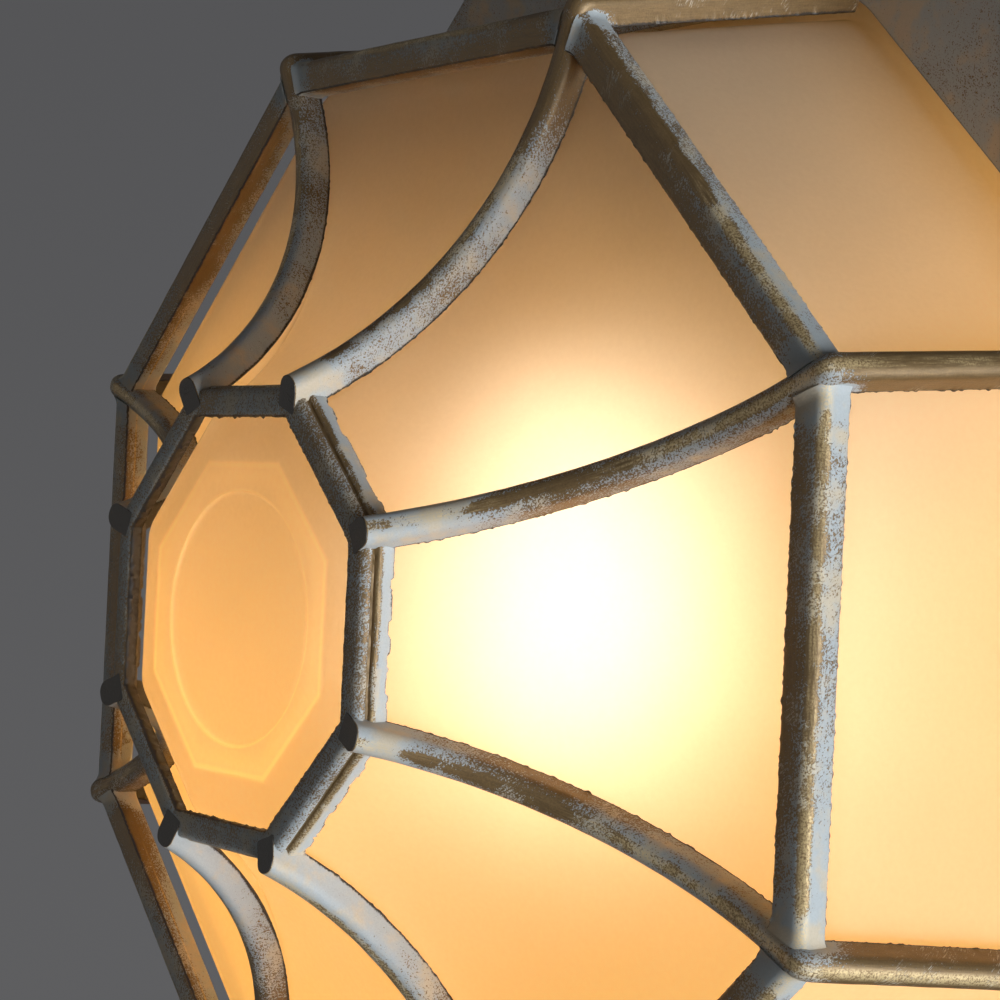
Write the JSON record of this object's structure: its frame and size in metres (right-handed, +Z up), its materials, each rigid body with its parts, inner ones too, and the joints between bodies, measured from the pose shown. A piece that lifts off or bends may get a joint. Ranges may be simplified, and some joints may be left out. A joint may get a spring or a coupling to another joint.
{
  "type": "outdoor ceiling light",
  "caption": "Octagonal flush ceiling light for a porch: frosted glass bowl with concave facets in a ribbed metal cage that hinges down from a ceiling tray.",
  "frame": {"origin": "centre of the ceiling plane that the tray's gasket rests on", "axes": "+Z up into the ceiling, -Y towards the thumb screw, +Y towards the hinge, +X along the lamp towards its cap"},
  "size_m": [0.306, 0.3313, 0.1313],
  "materials": {
    "cage_paint": "pale paint with dry-brushed gold wear",
    "tray_paint": "pale paint, speckled",
    "fitting_paint": "pale paint over pressed steel",
    "frosted_glass": "moulded, frosted",
    "foam": "closed-cell foam",
    "silicone": "matt silicone",
    "black_rubber": "matt",
    "terminal_plastic": "moulded",
    "zinc_steel": "zinc plated",
    "brass": "turned",
    "brown_wire": "insulation",
    "blue_wire": "insulation",
    "green_wire": "green and yellow insulation",
    "porcelain": "glazed",
    "lamp_glass": "opal",
    "lamp_cap_metal": "pressed"
  },
  "bodies": {
    "base": {"base_tray": "tray_paint", "ceiling_gasket": "foam", "tray_seal": "silicone", "sealing_washers": "silicone", "cable_grommet": "black_rubber", "terminal_block": "terminal_plastic", "pole_screws": "zinc_steel", "block_screws": "zinc_steel", "earth_pillar": "brass", "earth_lug": "brass", "earth_screw": "zinc_steel", "live_wire": "brown_wire", "neutral_wire": "blue_wire", "earth_wire": "green_wire", "lampholder_body": "porcelain", "lampholder_shell": "brass", "lampholder_contact": "brass", "lampholder_bracket": "zinc_steel", "bracket_screws": "zinc_steel", "holder_screws": "zinc_steel", "hinge_base_leaf": "fitting_paint", "base_leaf_screws": "zinc_steel", "hinge_pin": "zinc_steel", "latch_bracket": "fitting_paint", "latch_rivets": "zinc_steel"},
    "lamp": {"lamp_envelope": "lamp_glass", "lamp_cap": "lamp_cap_metal", "lamp_contact": "lamp_cap_metal"},
    "shade": {"cage_flange": "cage_paint", "bottom_ring": "cage_paint", "glass_bowl": "frosted_glass", "glass_gasket": "silicone", "glass_clips": "zinc_steel", "clip_screws": "zinc_steel", "hinge_shade_leaf": "fitting_paint", "shade_leaf_screws": "zinc_steel", "rib_1": "cage_paint", "rib_2": "cage_paint", "rib_3": "cage_paint", "rib_4": "cage_paint", "rib_5": "cage_paint", "rib_6": "cage_paint", "rib_7": "cage_paint", "rib_8": "cage_paint", "bar_1": "cage_paint", "bar_2": "cage_paint", "bar_3": "cage_paint", "bar_4": "cage_paint", "bar_5": "cage_paint", "bar_6": "cage_paint", "bar_7": "cage_paint", "bar_8": "cage_paint"},
    "latch": {"latch_screw": "brass", "latch_washer": "zinc_steel"}
  },
  "joints": [
    {"name": "shade_swing", "type": "hinge", "parent": "base", "child": "shade", "pos_m": [0, 0.15851, -0.02181], "axis": [1, 0, 0], "range_deg": [0, 90]},
    {"name": "latch_slide", "type": "slide", "parent": "shade", "child": "latch", "axis": [0, 0, -1], "range_m": [0, 0.0095]},
    {"name": "lamp_turn", "type": "hinge", "parent": "base", "child": "lamp", "pos_m": [0, 0, -0.0435], "axis": [-1, 0, 0], "range_deg": [0, 1080]}
  ]
}
